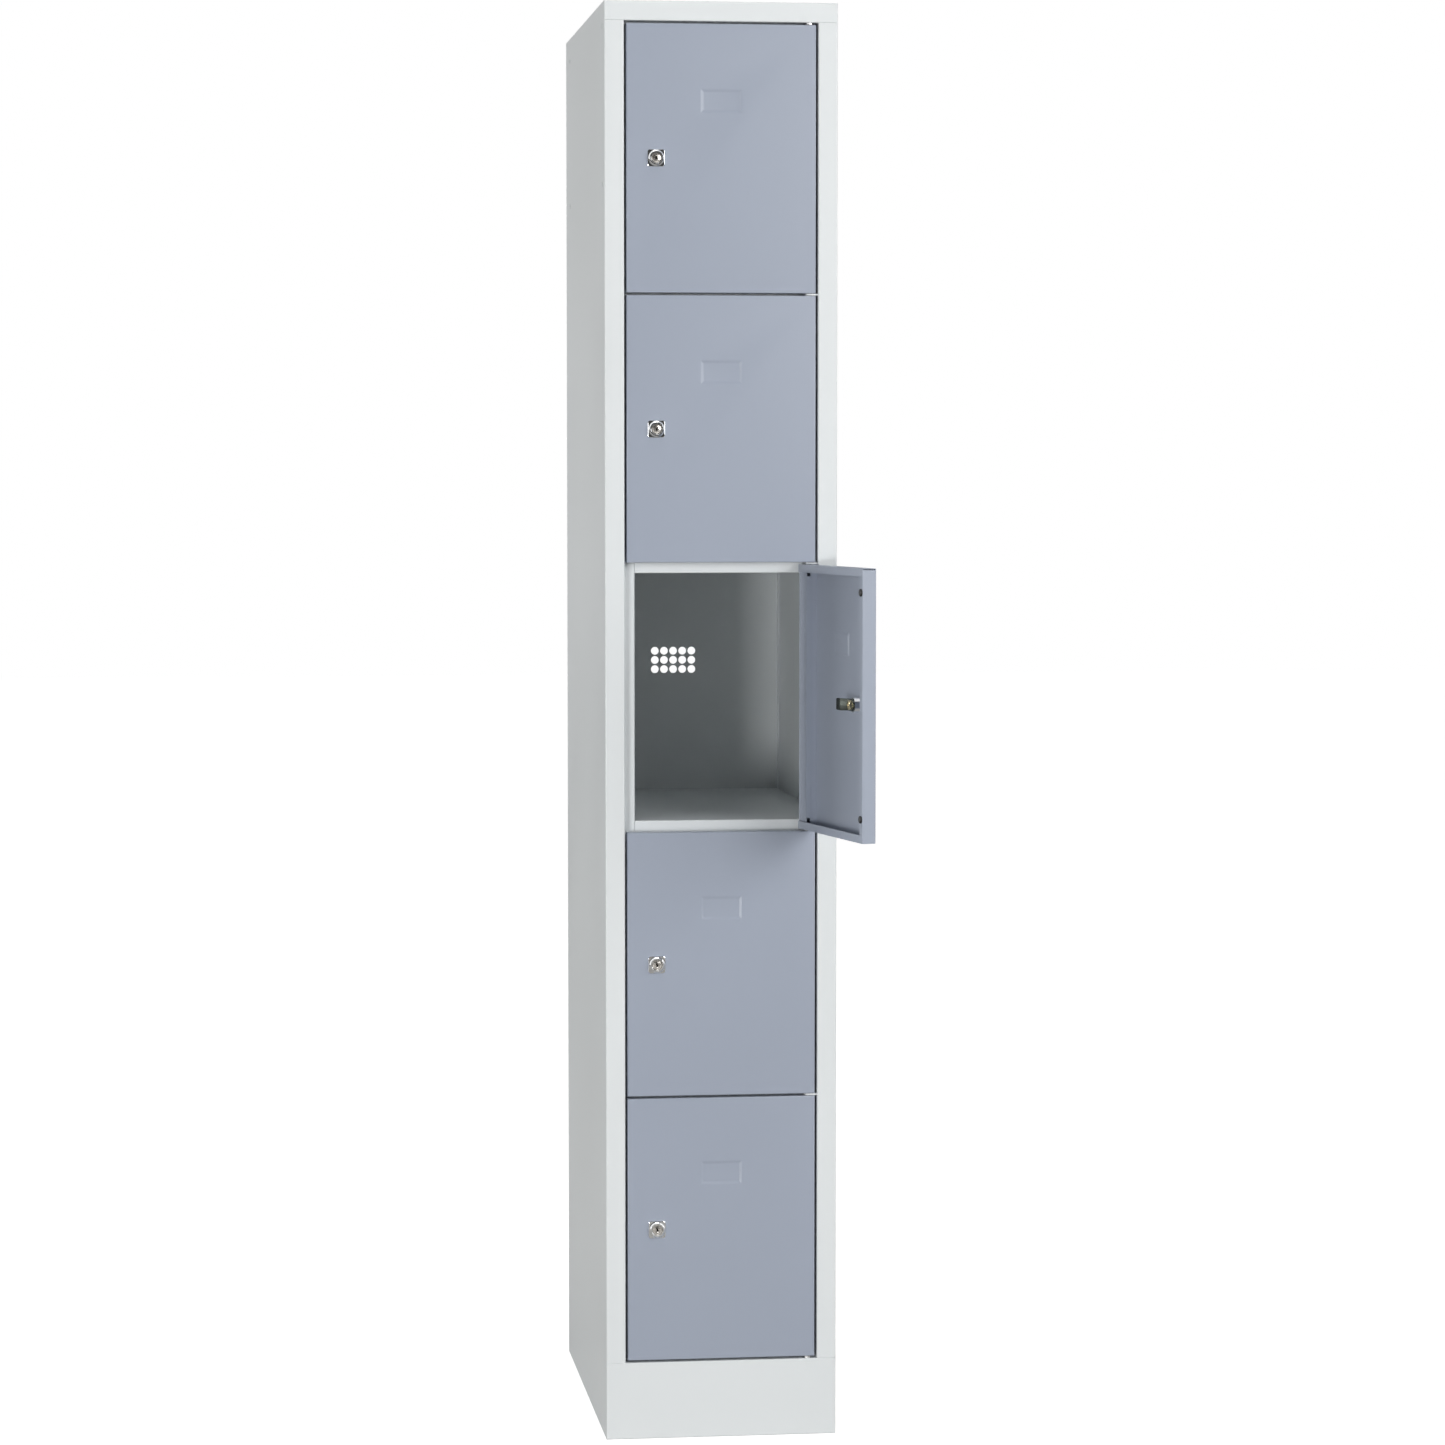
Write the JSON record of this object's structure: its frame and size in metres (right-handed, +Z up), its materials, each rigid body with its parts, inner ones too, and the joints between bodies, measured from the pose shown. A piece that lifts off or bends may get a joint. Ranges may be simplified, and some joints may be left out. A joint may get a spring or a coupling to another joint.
{
  "type": "compartment locker",
  "caption": "Tall narrow steel locker column with stacked lockable compartments, folded sheet doors with cam locks, and a plinth.",
  "frame": {"origin": "middle of the front bottom edge, on the floor", "axes": "+Z up, the doors face -Y, +X to the right of someone facing the doors"},
  "size_m": [0.315, 0.7769, 1.85],
  "materials": {
    "carcass_paint": "powder coat, light grey, satin with a fine orange-peel texture",
    "door_paint": "powder coat, blue-grey, satin",
    "pin_steel": "zinc-plated steel",
    "bush_plastic": "moulded plastic, black",
    "buffer_rubber": "moulded rubber, black, matt",
    "lock_chrome": "polished chrome plate",
    "nut_brass": "turned brass",
    "plug_nickel": "nickel plate",
    "cam_steel": "dark zinc-plated steel"
  },
  "bodies": {
    "carcass": {"left_side_panel": "carcass_paint", "right_side_panel": "carcass_paint", "top_panel": "carcass_paint", "rear_panel": "carcass_paint", "floor_panel": "carcass_paint", "plinth_front": "carcass_paint", "shelf_1": "carcass_paint", "shelf_2": "carcass_paint", "shelf_3": "carcass_paint", "shelf_4": "carcass_paint", "hinge_lugs": "carcass_paint", "hinge_pins": "pin_steel"},
    "door_1": {"door_1_panel": "door_paint", "door_1_stiffener": "door_paint", "door_1_hinge_bushes": "bush_plastic", "door_1_buffers": "buffer_rubber", "door_1_lock_housing": "lock_chrome", "door_1_lock_nut": "nut_brass"},
    "lock_1": {"door_1_lock_plug": "plug_nickel", "door_1_lock_cam": "cam_steel", "door_1_cam_screw": "nut_brass"},
    "door_2": {"door_2_panel": "door_paint", "door_2_stiffener": "door_paint", "door_2_hinge_bushes": "bush_plastic", "door_2_buffers": "buffer_rubber", "door_2_lock_housing": "lock_chrome", "door_2_lock_nut": "nut_brass"},
    "lock_2": {"door_2_lock_plug": "plug_nickel", "door_2_lock_cam": "cam_steel", "door_2_cam_screw": "nut_brass"},
    "door_3": {"door_3_panel": "door_paint", "door_3_stiffener": "door_paint", "door_3_hinge_bushes": "bush_plastic", "door_3_buffers": "buffer_rubber", "door_3_lock_housing": "lock_chrome", "door_3_lock_nut": "nut_brass"},
    "lock_3": {"door_3_lock_plug": "plug_nickel", "door_3_lock_cam": "cam_steel", "door_3_cam_screw": "nut_brass"},
    "door_4": {"door_4_panel": "door_paint", "door_4_stiffener": "door_paint", "door_4_hinge_bushes": "bush_plastic", "door_4_buffers": "buffer_rubber", "door_4_lock_housing": "lock_chrome", "door_4_lock_nut": "nut_brass"},
    "lock_4": {"door_4_lock_plug": "plug_nickel", "door_4_lock_cam": "cam_steel", "door_4_cam_screw": "nut_brass"},
    "door_5": {"door_5_panel": "door_paint", "door_5_stiffener": "door_paint", "door_5_hinge_bushes": "bush_plastic", "door_5_buffers": "buffer_rubber", "door_5_lock_housing": "lock_chrome", "door_5_lock_nut": "nut_brass"},
    "lock_5": {"door_5_lock_plug": "plug_nickel", "door_5_lock_cam": "cam_steel", "door_5_cam_screw": "nut_brass"}
  },
  "joints": [
    {"name": "door_1_hinge", "type": "hinge", "parent": "carcass", "child": "door_1", "pos_m": [0.1135, 0.0065, 1.6513], "axis": [0, 0, 1], "range_deg": [0, 110]},
    {"name": "lock_1_turn", "type": "hinge", "parent": "door_1", "child": "lock_1", "pos_m": [-0.084, 0, 1.6513], "axis": [0, -1, 0], "range_deg": [0, 180]},
    {"name": "door_2_hinge", "type": "hinge", "parent": "carcass", "child": "door_2", "pos_m": [0.1135, 0.0065, 1.3069], "axis": [0, 0, 1], "range_deg": [0, 110]},
    {"name": "lock_2_turn", "type": "hinge", "parent": "door_2", "child": "lock_2", "pos_m": [-0.084, 0, 1.3069], "axis": [0, -1, 0], "range_deg": [0, 180]},
    {"name": "door_3_hinge", "type": "hinge", "parent": "carcass", "child": "door_3", "pos_m": [0.1135, 0.0065, 0.9625], "axis": [0, 0, 1], "range_deg": [-101, 9]},
    {"name": "lock_3_turn", "type": "hinge", "parent": "door_3", "child": "lock_3", "pos_m": [0.15757, -0.18613, 0.9625], "axis": [0.9816, 0.1908, 0], "range_deg": [0, 180]},
    {"name": "door_4_hinge", "type": "hinge", "parent": "carcass", "child": "door_4", "pos_m": [0.1135, 0.0065, 0.6181], "axis": [0, 0, 1], "range_deg": [0, 110]},
    {"name": "lock_4_turn", "type": "hinge", "parent": "door_4", "child": "lock_4", "pos_m": [-0.084, 0, 0.6181], "axis": [0, -1, 0], "range_deg": [0, 180]},
    {"name": "door_5_hinge", "type": "hinge", "parent": "carcass", "child": "door_5", "pos_m": [0.1135, 0.0065, 0.2737], "axis": [0, 0, 1], "range_deg": [0, 110]},
    {"name": "lock_5_turn", "type": "hinge", "parent": "door_5", "child": "lock_5", "pos_m": [-0.084, 0, 0.2737], "axis": [0, -1, 0], "range_deg": [0, 180]}
  ]
}
